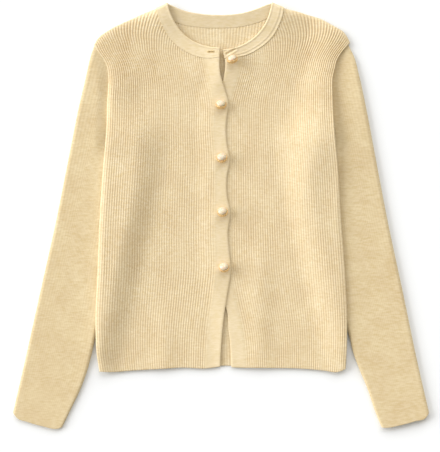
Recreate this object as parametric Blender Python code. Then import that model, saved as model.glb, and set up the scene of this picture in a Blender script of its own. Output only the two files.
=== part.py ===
"""Button cardigan in fine rib knit, laid flat on its back and buttoned.

The tables below are in millimetres and the model is in metres. +X is to the
right seen from above, +Y runs from the hem to the neck and +Z points up from
the table. Right and left are the wearer's, so the right front is at -X, and it
closes over the left one. The origin is the middle of the bounding box, on the
table. Sleeves are closed tubes whose inner halves lie under the body, which
therefore rises over them at both sides.
"""

import math

import bmesh
import bpy
import numpy as np

MM = 0.001

# ---- driving dimensions, in millimetres ----
CLOTH = 2.0  # wall of the knit
BAND_CLOTH = 2.4  # the neckband is folded double
SEAM = 0.8  # gap between pieces that meet edge to edge
LAYER = 0.3  # gap between pieces that lie on each other
EASE = 0.6  # air between the front and the back where nothing lifts the front

BUTTON_DIAMETER = 16.5
BUTTON_SIDES = 18
BUTTON_STAND = 3.2  # height of a fastened button's back over the right band
SHANK_RADIUS = 0.8
LOOSE_STAND = 5.4  # the same of the undone top button over the neckband
BUTTONHOLE_LENGTH = 11.0
BUTTONHOLE_WIDTH = 4.2
BUTTONHOLE_DROP = 2.4  # how far a buttonhole lies below the middle of its button
NECK_BUTTONHOLE = (-15.0, 245.5)  # the middle of the one in the neckband

EDGE_ROLL = 9.0  # how far in from a side or shoulder the front rolls down
COLLAR_RISE = 6.0  # how far the fronts stand up beside the neck
PLACKET_RISE = 3.2  # and along the opening below the neck
LAP_RISE = 2.8  # how far the right front climbs to lie on the left one
LAP_RUN = 14.0  # the length of that climb

NECK_FRONT_LENGTH = 130.0  # each front part of the neckband
NECK_BACK_LENGTH = 190.0
NECK_STAND = 3.0  # how far the back neckband tilts up
FOLD_SINK_RUN = 45.0  # the width over which a long fold loses height beyond its slope
NECK_FOLD = 4.5  # how far in from the shoulder the neckband rounds over

SLEEVE_HEIGHT = 8.2  # a flattened sleeve under the body, both walls and the air between
SLEEVE_THIN = 5.6  # the same along its outer edge
SLEEVE_HEAD_HEIGHT = 6.6  # the same next to the armhole, beside the body
SLEEVE_HEAD_THIN = 4.6  # and under it
SLEEVE_ROLL = 6.0  # how far in from its edges the sleeve rounds down
SLEEVE_SWELL = 40.0  # distance from the armhole at which it has its full height
BODY_LIFT = 9.0  # height of the body's underside over the sleeves
LIFT_RUN = 54.0  # how far past the sleeve the body takes to come down


def table(names, *rows):
    """Rows of numbers under named columns."""
    return dict(zip(names.split(), np.array(rows, float).T))


# Armhole and side edge of the body, and above the shoulder tip the line that
# the ribs follow there. Each height has the x of the two edges.
SIDES = table(
    "height right left",
    (-236, -182.0, 186.5),
    (-209, -186.0, 188.0),
    (-172, -188.0, 189.0),
    (-82, -185.0, 185.5),
    (-7, -182.0, 180.0),
    (68, -177.0, 175.5),
    (128, -172.0, 170.0),
    (173, -171.0, 168.0),
    (209, -169.5, 168.5),
    (221, -171.0, 171.5),
    (233, -175.5, 174.5),
    (246, -185.0, 182.5),
    (257, -190.5, 192.0),
    (272, -201.0, 203.0),
    (290, -209.0, 212.0),
    (314, -216.0, 220.0),
)

# Shoulder line: its height at each distance from the middle.
SHOULDERS = table(
    "reach right left",
    (0, 346.0, 340.0),
    (50, 328.0, 325.0),
    (75, 319.5, 317.5),
    (97, 310.8, 310.8),
    (115, 304.0, 306.0),
    (132, 296.0, 300.5),
    (150, 288.0, 295.0),
    (165, 280.5, 287.0),
    (176, 273.5, 281.0),
    (184, 267.0, 275.5),
    (189, 259.0, 269.0),
    (193, 250.0, 261.0),
    (200, 232.0, 242.0),
)

# Front edge of the right front, which is on top: it swells at each button.
TOP_EDGE = table(
    "height x",
    (-236, -1.6),
    (-202, 0.0),
    (-157, 3.8),
    (-112, 10.5),
    (-82, 15.0),
    (-52, 12.0),
    (-26, 10.4),
    (4, 13.5),
    (31, 9.0),
    (53, 8.4),
    (86, 12.8),
    (106, 9.0),
    (128, 7.2),
    (143, 8.2),
    (169, 11.2),
    (188, 6.0),
    (203, 1.5),
    (215, -1.5),
    (238, -2.2),
)

# Front edge of the left front, hidden under the right one along most of its length.
UNDER_EDGE = table(
    "height x",
    (-236, 16.0),
    (-202, 14.3),
    (-172, 11.3),
    (-145, 9.0),
    (-119, -1.5),
    (-89, -7.5),
    (-60, -9.0),
    (0, -9.0),
    (150, -9.0),
    (180, -7.5),
    (192, -3.0),
    (203, 3.0),
    (215, 5.4),
    (226, 6.5),
    (240, 5.0),
)

# Seam between each front and its band.
BAND_SEAM = table(
    "height right left",
    (-236, -20.8, 35.0),
    (-180, -18.0, 31.0),
    (-120, -10.5, 18.5),
    (-80, -6.5, 11.5),
    (-30, -7.5, 10.0),
    (30, -7.2, 10.0),
    (90, -7.0, 10.0),
    (130, -9.5, 10.0),
    (165, -9.5, 11.0),
    (190, -13.5, 17.0),
    (215, -19.0, 24.0),
    (240, -21.5, 25.5),
    (270, -25.0, 26.0),
    (290, -21.0, 20.0),
    (314, -5.0, 4.0),
)

# Hem line of the fronts, and of the back, which ends a little higher.
HEM = table(
    "x front back",
    (-190, -234.0, -232.0),
    (-163, -235.0, -232.0),
    (-135, -233.0, -230.0),
    (-85, -230.0, -227.0),
    (-60, -228.5, -226.0),
    (-20, -229.5, -225.8),
    (0, -227.0, -225.6),
    (16, -228.0, -225.8),
    (75, -229.0, -226.0),
    (120, -230.0, -227.0),
    (155, -233.0, -230.0),
    (175, -235.0, -231.5),
    (190, -229.0, -228.0),
)

# Inner edge of each sleeve, from the underarm to the cuff, by height.
SLEEVE_INNER = table(
    "height right left",
    (-318, -238.5, 241.0),
    (-292, -226.0, 230.5),
    (-262, -211.5, 220.5),
    (-227, -199.0, 206.0),
    (-205, -193.5, 198.0),
    (-180, -187.8, 192.0),
    (-157, -181.5, 185.0),
    (-97, -169.5, 171.5),
    (-37, -156.0, 157.5),
    (23, -142.5, 144.0),
    (76, -133.5, 135.0),
    (110, -131.0, 131.0),
)

# Outer edge of each sleeve, from the cuff to the shoulder tip, by height.
SLEEVE_OUTER = table(
    "height right left",
    (-296, -312.3, 312.3),
    (-223, -295.5, 295.5),
    (-115, -271.5, 273.0),
    (-7, -247.5, 250.0),
    (101, -226.0, 229.5),
    (173, -211.5, 216.0),
    (209, -203.0, 208.5),
    (240, -196.0, 200.0),
    (252, -192.5, 195.5),
)

# Cuff line from the outer edge to the inner one.
CUFF = table(
    "share right_x right_y left_x left_y",
    (0.0, -312.3, -296.0, 312.3, -296.0),
    (0.08, -307.0, -303.0, 307.5, -303.0),
    (0.3, -290.5, -309.5, 291.0, -308.5),
    (0.6, -268.5, -315.5, 268.5, -314.5),
    (0.92, -244.5, -318.8, 246.0, -318.0),
    (1.0, -238.5, -316.8, 241.0, -317.5),
)

# The hidden end of the armhole, under the body, from the side edge to the underarm.
UNDERARM = table(
    "inward height",
    (8.0, 98.0),
    (22.0, 85.0),
    (39.0, 76.0),
)

# The neckband crosses these lines from its seam to its free edge.
# Each front part runs from the front opening to the shoulder.
NECK_RIGHT = table(
    "seam_x seam_y free_x free_y",
    (-2.2, 237.5, -1.6, 251.5),
    (-20.0, 236.0, -15.5, 253.0),
    (-38.0, 239.5, -31.0, 257.0),
    (-54.0, 247.0, -43.5, 263.0),
    (-68.0, 257.0, -55.5, 272.0),
    (-79.0, 269.0, -65.5, 283.5),
    (-87.0, 283.0, -72.0, 295.0),
    (-93.0, 296.5, -77.0, 306.5),
    (-97.0, 310.4, -80.0, 318.0),
)
NECK_LEFT = table(
    "seam_x seam_y free_x free_y",
    (5.0, 236.0, 2.5, 249.0),
    (22.0, 237.0, 15.5, 250.5),
    (40.0, 241.5, 29.0, 255.0),
    (56.0, 250.0, 42.0, 262.0),
    (70.0, 260.5, 53.5, 271.5),
    (80.5, 273.0, 63.0, 283.0),
    (87.5, 287.0, 69.5, 295.0),
    (91.8, 299.0, 73.5, 307.0),
    (94.0, 311.4, 76.0, 318.6),
)
NECK_BACK = table(
    "seam_x seam_y free_x free_y",
    (-97.0, 310.4, -80.0, 318.0),
    (-84.0, 300.0, -70.0, 313.5),
    (-69.0, 291.0, -58.0, 308.5),
    (-50.0, 285.5, -43.0, 304.5),
    (-26.0, 282.6, -22.0, 301.8),
    (-2.0, 282.0, -2.0, 301.0),
    (22.0, 283.0, 19.0, 302.0),
    (44.0, 287.0, 39.0, 305.8),
    (62.0, 293.0, 55.0, 311.0),
    (79.0, 301.5, 67.0, 315.8),
    (94.0, 311.4, 76.0, 318.6),
)

# The long fold down each front: where its slope is, how high it rises towards the side, over
# what width, and what share of that height it loses again beyond the slope.
RIGHT_FOLD = table(
    "height x rise width sink",
    (-215, -165.0, 1.6, 30, 0.0),
    (-194, -161.0, 2.0, 32, 0.0),
    (-127, -149.0, 3.6, 38, 0.0),
    (-52, -133.0, 4.1, 42, 0.0),
    (23, -116.0, 3.4, 38, 0.0),
    (98, -114.0, 1.8, 48, 0.0),
    (173, -130.0, 2.8, 62, 0.0),
    (233, -138.0, 1.4, 70, 0.0),
    (300, -150.0, 1.2, 80, 0.0),
)
LEFT_FOLD = table(
    "height x rise width sink",
    (-215, 161.0, 0.6, 20, 0.7),
    (-194, 159.0, 0.8, 22, 0.7),
    (-127, 145.0, 1.3, 28, 0.6),
    (-52, 121.0, 2.2, 30, 0.5),
    (23, 110.0, 3.6, 34, 0.4),
    (98, 116.0, 6.6, 48, 0.25),
    (173, 128.0, 8.6, 54, 0.1),
    (233, 139.0, 7.2, 46, 0.5),
    (300, 150.0, 5.5, 60, 0.6),
)

# Buttons from the neck down: where each is, and how far its head leans.
BUTTONS = table(
    "x y lean_back lean_right",
    (19.0, 230.5, 45.0, -20.0),
    (0.4, 164.0, 32.0, -5.0),
    (2.5, 85.0, 30.0, -12.0),
    (4.0, 3.8, 30.0, -16.0),
    (6.2, -79.0, 30.0, -14.0),
)

CREAM = (0.80, 0.65, 0.38, 1.0)
PEARL = (0.93, 0.87, 0.78, 1.0)
GILT = (0.78, 0.52, 0.20, 1.0)


# ---- curves and height functions ----
def curve(knots, values, at):
    """Smooth line through a table's rows, at any places."""
    slopes = np.gradient(values, knots)
    at = np.asarray(at, float)
    low = np.clip(np.searchsorted(knots, at) - 1, 0, len(knots) - 2)
    step = knots[low + 1] - knots[low]
    q = np.clip((at - knots[low]) / step, 0, 1)
    ease = q * q * (3 - 2 * q)
    bend = q * (1 - q) * step * ((1 - q) * slopes[low] - q * slopes[low + 1])
    return values[low] * (1 - ease) + values[low + 1] * ease + bend


def soft_step(q):
    """0 to 1 with level ends."""
    q = np.clip(q, 0, 1)
    return q * q * (3 - 2 * q)


def roll(q):
    """A quarter of an ellipse: 0 at the edge, 1 one roll's width in."""
    q = np.clip(q, 0, 1)
    return np.sqrt(np.clip(1 - (1 - q) ** 2, 0, 1))


def side_edge(side, height):
    return curve(SIDES["height"], SIDES[side], height)


def front_edge(side, height):
    edge = TOP_EDGE if side == "right" else UNDER_EDGE
    return curve(edge["height"], edge["x"], height)


def band_seam(side, height):
    return curve(BAND_SEAM["height"], BAND_SEAM[side], height)


def shoulder_height(x):
    reach = np.abs(x)
    right = curve(SHOULDERS["reach"], SHOULDERS["right"], reach)
    left = curve(SHOULDERS["reach"], SHOULDERS["left"], reach)
    return np.where(x < 0, right, left)


def strip_line(neck, which, share):
    """A point on one edge of a part of the neckband."""
    rows = np.linspace(0, 1, len(neck["seam_x"]))
    return curve(rows, neck[which + "_x"], share), curve(rows, neck[which + "_y"], share)


def neckline(*necks):
    """A fine line along the neckband's seam, moved down by the seam's gap."""
    share = np.linspace(0, 1, 200)
    lines = [np.array(strip_line(neck, "seam", share)) for neck in necks]
    line = np.concatenate(lines, axis=1)
    line = line[:, np.argsort(line[0])]
    across = np.gradient(line, axis=1)
    across = across / np.maximum(np.hypot(*across), 1e-9)
    return line + np.array([across[1], -across[0]]) * SEAM


FRONT_NECKLINE = {"right": neckline(NECK_RIGHT), "left": neckline(NECK_LEFT)}
BACK_NECKLINE = neckline(NECK_BACK)


def top_outline(line, x):
    """Height of a panel's top edge: the shoulder, and between the shoulders the neckline."""
    inside = (x > line[0, 0]) & (x < line[0, -1])
    return np.where(inside, np.interp(x, *line), shoulder_height(x))


def side_distance(x, y):
    """Distance in from the nearer side edge."""
    distances = []
    for side, sign in (("right", 1), ("left", -1)):
        lean = (side_edge(side, y + 1) - side_edge(side, y - 1)) / 2
        distances.append(sign * (x - side_edge(side, y)) / np.hypot(1, lean))
    return np.minimum(*distances)


def shoulder_distance(x, y):
    lean = (shoulder_height(x + 1) - shoulder_height(x - 1)) / 2
    return (shoulder_height(x) - y) / np.hypot(1, lean)


def body_lift(x, y):
    """Height of the body's underside, which climbs over the sleeves' hidden halves."""
    near = np.minimum(
        x - curve(SLEEVE_INNER["height"], SLEEVE_INNER["right"], y),
        curve(SLEEVE_INNER["height"], SLEEVE_INNER["left"], y) - x,
    )
    held = soft_step((178 - y) / 80) * (1 - 0.3 * soft_step((-192 - y) / 44))
    return BODY_LIFT * held * (1 - soft_step((near - 2) / LIFT_RUN))


def hem_ridge(x, y, foot, start, width):
    """A soft fold that rises towards the hem along the ribs."""
    return np.exp(-(((x - foot) / width) ** 2)) * soft_step((start - y) / 90)


def long_fold(fold, sign, x, y):
    """The slope of a front's long fold, beyond which it sinks a little towards the side."""
    past = sign * (x - curve(fold["height"], fold["x"], y))
    width = curve(fold["height"], fold["width"], y)
    sinks = 1 - curve(fold["height"], fold["sink"], y) * soft_step((past - width / 2) / FOLD_SINK_RUN)
    return curve(fold["height"], fold["rise"], y) * soft_step(0.5 + past / width) * sinks


def front_air(x, y):
    """Height of the air between the back and the front."""
    puff = np.maximum(long_fold(RIGHT_FOLD, -1, x, y), long_fold(LEFT_FOLD, 1, x, y))
    collar = COLLAR_RISE * np.exp(-((np.hypot(np.abs(x + 2) - 86, y - 306) / 34) ** 2))
    placket = PLACKET_RISE * np.exp(-(((x - 2) / 40) ** 2)) * soft_step((y - 172) / 45)
    folds = 2.0 * hem_ridge(x, y, -86, -115, 17) + 2.2 * hem_ridge(x, y, 58, -20, 19)
    return EASE + np.maximum(puff, collar) + placket + folds


def lap(side, x, y):
    """Extra height of the right front where it lies on the left one."""
    if side == "left":
        return 0 * x
    start = front_edge("left", y) - LAP_RUN
    return LAP_RISE * soft_step((x - start) / (LAP_RUN - 1))


def front_heights(side, x, y):
    """Bottom and top of a front, which rolls down to the back at its sides and shoulder."""
    foot = body_lift(x, y) + CLOTH + LAYER
    edge = np.minimum(side_distance(x, y), shoulder_distance(x, y))
    air = front_air(x, y)
    rise = lap(side, x, y)
    thin = 0.4 * CLOTH
    bottom = foot + rise + air * roll((edge - CLOTH) / EDGE_ROLL)
    top = foot + rise + thin + (air + CLOTH - thin) * roll(edge / EDGE_ROLL)
    return bottom, top


# ---- building blocks ----
def new_object(name, mesh, material):
    mesh.materials.append(material)
    part = bpy.data.objects.new(name, mesh)
    bpy.context.scene.collection.objects.link(part)
    return part


def finish_material(name, colour, roughness, metallic=0.0):
    material = bpy.data.materials.new(name)
    material.use_nodes = True
    shader = material.node_tree.nodes["Principled BSDF"]
    shader.inputs["Base Color"].default_value = colour
    shader.inputs["Roughness"].default_value = roughness
    shader.inputs["Metallic"].default_value = metallic
    return material


def slab(name, columns, rows, place, material, tube=False):
    """A closed sheet of cloth on a grid.

    columns and rows are shares from 0 to 1. place(u, v, face) gives the points
    in millimetres, where face is 0 for the lower side and 1 for the upper one.
    A tube's two long edges are merged.
    """
    bm = bmesh.new()
    bmesh.ops.create_grid(
        bm, x_segments=len(columns) - 1, y_segments=len(rows) - 1, size=0.5
    )
    pulled = bmesh.ops.extrude_face_region(bm, geom=bm.faces[:], use_keep_orig=True)
    upper = [item for item in pulled["geom"] if isinstance(item, bmesh.types.BMVert)]
    bmesh.ops.translate(bm, verts=upper, vec=(0, 0, 1))
    bmesh.ops.recalc_face_normals(bm, faces=bm.faces)
    if tube:
        walls = [f for f in bm.faces if abs(abs(f.calc_center_median().x) - 0.5) < 1e-6]
        bmesh.ops.delete(bm, geom=walls, context="FACES_ONLY")
    spots = np.array([vert.co for vert in bm.verts])
    u = columns[np.rint((spots[:, 0] + 0.5) * (len(columns) - 1)).astype(int)]
    v = rows[np.rint((spots[:, 1] + 0.5) * (len(rows) - 1)).astype(int)]
    points = np.stack(place(u, v, spots[:, 2]), axis=1) * MM
    for vert, point in zip(bm.verts, points):
        vert.co = point
    if tube:
        bmesh.ops.remove_doubles(bm, verts=bm.verts, dist=1e-6)
    mesh = bpy.data.meshes.new(name)
    bm.to_mesh(mesh)
    bm.free()
    mesh.shade_smooth()
    mesh.set_sharp_from_angle(angle=math.radians(40))
    return new_object(name, mesh, material)


def column_top(across, outline, share):
    """Height at which each rib line meets a panel's top edge."""
    low, high = np.full_like(share, 215.0), np.full_like(share, 316.0)
    for _ in range(40):
        middle = (low + high) / 2
        below = outline(across(share, middle)) > middle
        low, high = np.where(below, middle, low), np.where(below, high, middle)
    return low


def panel_place(across, outline, hem, heights):
    """place() for a body panel whose columns follow the ribs."""

    def place(u, v, face):
        foot = curve(HEM["x"], HEM[hem], across(u, np.full_like(u, -229.0)))
        y = foot + (column_top(across, outline, u) - foot) * v
        x = across(u, y)
        bottom, top = heights(x, y)
        return x, y, np.where(face > 0.5, top, bottom)

    return place


def corner_share(across, line_end):
    """Where a panel's rib lines pass the corner between its shoulder and its neckline."""
    x, y = BACK_NECKLINE[:, line_end]
    low, high = across(np.array([0.0, 1.0]), y)
    return (x - low) / (high - low)


def eased(count):
    """Shares from 0 to 1, closer together at both ends."""
    even = np.linspace(0, 1, count)
    return 0.35 * even + 0.65 * (1 - np.cos(math.pi * even)) / 2


# Rows of the body panels from hem to top, closest where the body climbs over the sleeves.
BODY_ROWS = np.concatenate(
    [np.linspace(0, 0.52, 8), np.linspace(0.56, 0.85, 9), np.linspace(0.88, 1, 5)]
)


# ---- the pieces ----
def make_back(knit):
    def across(u, y):
        right, left = side_edge("right", y), side_edge("left", y)
        return right + (left - right) * u

    def heights(x, y):
        bottom = body_lift(x, y)
        return bottom, bottom + CLOTH

    def outline(x):
        return top_outline(BACK_NECKLINE, x)

    corners = np.array([corner_share(across, line_end) for line_end in (0, -1)])
    columns = np.concatenate(
        [
            eased(8) * corners[0],
            corners[0] + (corners[1] - corners[0]) * eased(12)[1:-1],
            corners[1] + eased(8) * (1 - corners[1]),
        ]
    )
    place = panel_place(across, outline, "back", heights)
    slab("back", columns, BODY_ROWS, place, knit)


def make_front(side, knit):
    sign = -1 if side == "right" else 1

    def across(u, y):
        share = u if side == "right" else 1 - u
        outer, inner = side_edge(side, y), band_seam(side, y) + sign * SEAM
        return outer + (inner - outer) * share

    def outline(x):
        return top_outline(FRONT_NECKLINE[side], x)

    def heights(x, y):
        return front_heights(side, x, y)

    corner = corner_share(across, 0 if side == "right" else -1)
    if side == "left":
        corner = 1 - corner
    columns = np.concatenate([eased(9) * corner, np.linspace(corner, 1, 10)[1:]])
    if side == "left":
        columns = 1 - columns[::-1]
    place = panel_place(across, outline, "front", heights)
    slab("front_" + side, columns, BODY_ROWS, place, knit)


def make_band(side, knit):
    """The plain strip along a front's edge, from the hem to the neckband."""

    def place(u, v, face):
        seam, edge = (1 - u, u) if side == "right" else (u, 1 - u)
        foot = curve(HEM["x"], HEM["front"], front_edge(side, np.full_like(u, -229.0)))
        lift = FRONT_NECKLINE[side]
        y = foot + (230.0 - foot) * v
        x = band_seam(side, y) * seam + front_edge(side, y) * edge
        y = y + (np.interp(x, *lift) - 230.0) * soft_step((v - 0.9) / 0.1)
        bottom, top = front_heights(side, x, y)
        return x, y, np.where(face > 0.5, top, bottom)

    band = slab("band_" + side, np.linspace(0, 1, 3), np.linspace(0, 1, 38), place, knit)
    if side == "right":
        for x, y in zip(BUTTONS["x"][1:], BUTTONS["y"][1:]):
            cut_buttonhole(band, x, y - BUTTONHOLE_DROP)


def cut_buttonhole(strip, x, y):
    """A level slit through a band, cut by a hidden block."""
    bm = bmesh.new()
    bmesh.ops.create_cube(bm, size=1)
    size = (BUTTONHOLE_LENGTH * MM, BUTTONHOLE_WIDTH * MM, 20 * MM)
    bmesh.ops.scale(bm, verts=bm.verts, vec=size)
    bmesh.ops.translate(bm, verts=bm.verts, vec=(x * MM, y * MM, 6 * MM))
    mesh = bpy.data.meshes.new("buttonhole_cutter")
    bm.to_mesh(mesh)
    bm.free()
    cutter = bpy.data.objects.new("buttonhole_cutter", mesh)
    bpy.context.scene.collection.objects.link(cutter)
    cutter.hide_render = True
    cutter.display_type = "WIRE"
    cut = strip.modifiers.new("buttonhole", "BOOLEAN")
    cut.operation = "DIFFERENCE"
    cut.object = cutter


def sleeve_height(w, v):
    """Height of a sleeve at a share of its width from the outer edge and of its length."""
    full = SLEEVE_THIN + (SLEEVE_HEIGHT - SLEEVE_THIN) * soft_step(w / 0.65)
    head = SLEEVE_HEAD_HEIGHT + (SLEEVE_HEAD_THIN - SLEEVE_HEAD_HEIGHT) * soft_step((w - 0.5) / 0.3)
    return head + (full - head) * soft_step(v * 400 / SLEEVE_SWELL)


def sleeve_place(side):
    """place() for a sleeve: u goes round the tube, and v from the cuff to the armhole."""
    sign = -1 if side == "right" else 1
    edge_heights = np.array([256.0, 247.0, 233.0, 221.0, 209.0, 173.0, 140.0, 114.0])
    clear = np.interp(edge_heights, (114.0, 180.0), (3.6, 1.8))
    head_x = side_edge(side, edge_heights) + sign * clear
    under_x = side_edge(side, UNDERARM["height"]) - sign * UNDERARM["inward"]
    head = np.array(
        [
            np.concatenate([head_x, under_x]),
            np.concatenate([edge_heights, UNDERARM["height"]]),
        ]
    )
    length = np.concatenate([[0], np.cumsum(np.hypot(*np.diff(head, axis=1)))])
    cuff_x, cuff_y = side + "_x", side + "_y"

    def head_line(w):
        at = w * length[-1]
        return curve(length, head[0], at), curve(length, head[1], at)

    def edge_line(edge, v, top):
        y = top + (edge["height"][0] - top) * v
        return curve(edge["height"], edge[side], y), y

    def plan(w, v):
        """A patch between the armhole, the cuff and the sleeve's two edges."""
        hx, hy = head_line(w)
        cx = curve(CUFF["share"], CUFF[cuff_x], w)
        cy = curve(CUFF["share"], CUFF[cuff_y], w)
        ox, oy = edge_line(SLEEVE_OUTER, v, head[1][0])
        ix, iy = edge_line(SLEEVE_INNER, v, head[1][-1])
        pull = (1 - v) ** 8  # brings each edge line's start onto its end of the head
        ox = ox + (head[0][0] - edge_line(SLEEVE_OUTER, 0, head[1][0])[0]) * pull
        ix = ix + (head[0][-1] - edge_line(SLEEVE_INNER, 0, head[1][-1])[0]) * pull
        ends = []
        for h, c, o, i, h0, h1, c0, c1 in (
            (hx, cx, ox, ix, head[0][0], head[0][-1], CUFF[cuff_x][0], CUFF[cuff_x][-1]),
            (hy, cy, oy, iy, head[1][0], head[1][-1], CUFF[cuff_y][0], CUFF[cuff_y][-1]),
        ):
            flat = (1 - v) * ((1 - w) * h0 + w * h1) + v * ((1 - w) * c0 + w * c1)
            ends.append((1 - v) * h + v * c + (1 - w) * o + w * i - flat)
        return ends

    def place(u, up, face):
        v = 1 - up
        under = u > 0.5
        w = np.where(under, 2 - 2 * u, 2 * u)
        if side == "left":
            w = 1 - w
        inset = np.where(face > 0.5, 0.0, CLOTH)
        width = 100.0 - 30.0 * v
        w = inset / width + w * (1 - 2 * inset / width)
        x, y = plan(w, v)
        height = sleeve_height(w, v)
        from_edge = np.minimum(w, 1 - w) * width - inset
        half = height / 2 - np.where(face > 0.5, 0.0, CLOTH)
        bulge = half * roll(from_edge / (SLEEVE_ROLL - inset / 2))
        return x, y, height / 2 + np.where(under, -bulge, bulge)

    return place


def make_sleeve(side, knit):
    top = eased(12) / 2
    columns = np.concatenate([top, 0.5 + top[1:]])
    rows = np.concatenate([np.linspace(0, 0.91, 13), np.linspace(0.91, 1, 4)[1:]])
    slab("sleeve_" + side, columns, rows, sleeve_place(side), knit, tube=True)


def neckband_centre(share, w):
    """Middle surface of the neckband: right front, round the shoulder, back, left front."""
    part = np.clip((share * 3).astype(int), 0, 2)
    local = share * 3 - part
    points = []
    for neck in (NECK_RIGHT, NECK_BACK, NECK_LEFT):
        along = 1 - local if neck is NECK_LEFT else local
        seam_x, seam_y = strip_line(neck, "seam", along)
        free_x, free_y = strip_line(neck, "free", along)
        x, y = seam_x + (free_x - seam_x) * w, seam_y + (free_y - seam_y) * w
        back = BAND_CLOTH / 2 + NECK_STAND * w
        front = CLOTH + LAYER + front_air(x, y) + BAND_CLOTH / 2
        middle = (back + front) / 2
        if neck is NECK_BACK:
            level, near = back, NECK_BACK_LENGTH * np.minimum(along, 1 - along)
        else:
            side = "left" if neck is NECK_LEFT else "right"
            level, near = front + lap(side, x, y), NECK_FRONT_LENGTH * (1 - along)
        points.append([x, y, middle + (level - middle) * roll(near / NECK_FOLD)])
    return np.array(points)[part, :, np.arange(len(part))].T


def make_neckband(knit):
    def place(u, v, face):
        step = 1e-4
        centre = neckband_centre(v, u)
        ahead = neckband_centre(np.minimum(v + step, 1), u)
        along = ahead - neckband_centre(np.maximum(v - step, 0), u)
        freer = neckband_centre(v, np.minimum(u + step, 1))
        across = freer - neckband_centre(v, np.maximum(u - step, 0))
        normal = np.cross(across.T, along.T).T
        normal = normal / np.linalg.norm(normal, axis=0)
        return tuple(centre + normal * (face - 0.5) * BAND_CLOTH)

    third = np.linspace(0, 1, 15)
    bend = NECK_FOLD * (1 - np.cos(np.linspace(0, math.pi / 2, 5)))
    front = np.concatenate([third[:-1], 1 - bend / NECK_FRONT_LENGTH])
    back = np.concatenate([third[1:-1], bend / NECK_BACK_LENGTH, 1 - bend / NECK_BACK_LENGTH])
    rows = np.unique(np.round(np.concatenate([front, 1 + back, 3 - front]) / 3, 7))
    neckband = slab("neckband", np.linspace(0, 1, 3), rows, place, knit)
    cut_buttonhole(neckband, *NECK_BUTTONHOLE)


def turned(name, profile, steps, material):
    """A closed turned piece from (radius, height) pairs that start and end on the axis."""
    bm = bmesh.new()
    points = [bm.verts.new((r * MM, 0, z * MM)) for r, z in profile]
    edges = [bm.edges.new(pair) for pair in zip(points, points[1:])]
    bmesh.ops.spin(
        bm, geom=points + edges, axis=(0, 0, 1), cent=(0, 0, 0),
        angle=2 * math.pi, steps=steps, use_merge=True,
    )
    bmesh.ops.remove_doubles(bm, verts=bm.verts, dist=1e-6)
    bmesh.ops.recalc_face_normals(bm, faces=bm.faces)
    mesh = bpy.data.meshes.new(name)
    bm.to_mesh(mesh)
    bm.free()
    mesh.shade_smooth()
    mesh.set_sharp_from_angle(angle=math.radians(40))
    return new_object(name, mesh, material)


def make_button(number, x, y, base, shank, lean_back, lean_right, gilt, pearl):
    """A gilt cup on a shank with a pearl dome in it, leaning a little on its thread."""
    r = BUTTON_DIAMETER / 2
    foot = [(0, -shank), (SHANK_RADIUS, -shank), (SHANK_RADIUS, 0.2)]
    bowl = [(0.5 * r, 0.3), (0.86 * r, 1.6), (0.97 * r, 3.6), (r, 6.2), (0.97 * r, 7.2), (0.84 * r, 7.5)]
    seat = [(0.8 * r, 6.8), (0.5 * r, 5.4), (0, 5.2)]
    cup = turned(f"button_cup_{number}", foot + bowl + seat, BUTTON_SIDES, gilt)
    dome = [
        (0.755 * r * math.sin(a), 7.4 + 5.6 * math.cos(a))
        for a in np.linspace(0, math.pi / 2, 5)
    ]
    dome = [(0, dome[0][1])] + dome[1:] + [(0.46 * r, 5.8), (0, 5.6)]
    bead = turned(f"button_pearl_{number}", dome, BUTTON_SIDES, pearl)
    for piece in (cup, bead):
        piece.location = (x * MM, y * MM, base * MM)
        piece.rotation_euler = (-math.radians(lean_back), math.radians(lean_right), 0)


def make_cardigan():
    for old in list(bpy.data.objects):
        bpy.data.objects.remove(old)
    knit = finish_material("rib_knit", CREAM, 0.85)
    plain = finish_material("plain_knit", CREAM, 0.8)
    pearl = finish_material("pearl", PEARL, 0.25)
    gilt = finish_material("gilt", GILT, 0.3, 1.0)
    make_back(knit)
    for side in ("right", "left"):
        make_front(side, knit)
        make_band(side, plain)
        make_sleeve(side, knit)
    make_neckband(plain)
    for number, row in enumerate(zip(*BUTTONS.values()), start=1):
        x, y, lean_back, lean_right = row
        spot = np.array([x]), np.array([y])
        if number == 1:
            base = CLOTH + LAYER + front_air(*spot)[0] + BAND_CLOTH + LOOSE_STAND
            upright = math.cos(math.radians(lean_back)) * math.cos(math.radians(lean_right))
            foot_drop = SHANK_RADIUS * math.sqrt(1 - upright**2)
            shank = (LOOSE_STAND - LAYER - foot_drop) / upright
        else:
            base = front_heights("right", *spot)[1][0] + BUTTON_STAND
            shank = BUTTON_STAND + CLOTH - 0.1
        make_button(number, x, y, base, shank, lean_back, lean_right, gilt, pearl)


make_cardigan()
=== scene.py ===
"""The looks of a button cardigan in fine rib knit, laid flat on its back.

Every cloth piece is made here as a fine ribbed sheet on the form of its CAD
solid. The tables are in millimetres, in the frame of the CAD: +X to the right
seen from above, +Y from the hem to the neck, +Z up from the floor. Right and
left are the wearer's, so the right front is at -X and closes on top.
"""

import math

import bmesh
import bpy
import numpy as np
from mathutils import Matrix, Vector
from mathutils.bvhtree import BVHTree


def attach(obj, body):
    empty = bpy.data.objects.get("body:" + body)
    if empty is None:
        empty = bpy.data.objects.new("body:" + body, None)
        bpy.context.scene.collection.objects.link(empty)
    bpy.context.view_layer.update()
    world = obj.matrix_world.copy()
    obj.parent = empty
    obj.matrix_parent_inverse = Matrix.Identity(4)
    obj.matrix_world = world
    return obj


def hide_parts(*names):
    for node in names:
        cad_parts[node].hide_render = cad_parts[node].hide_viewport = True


MM = 0.001

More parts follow.
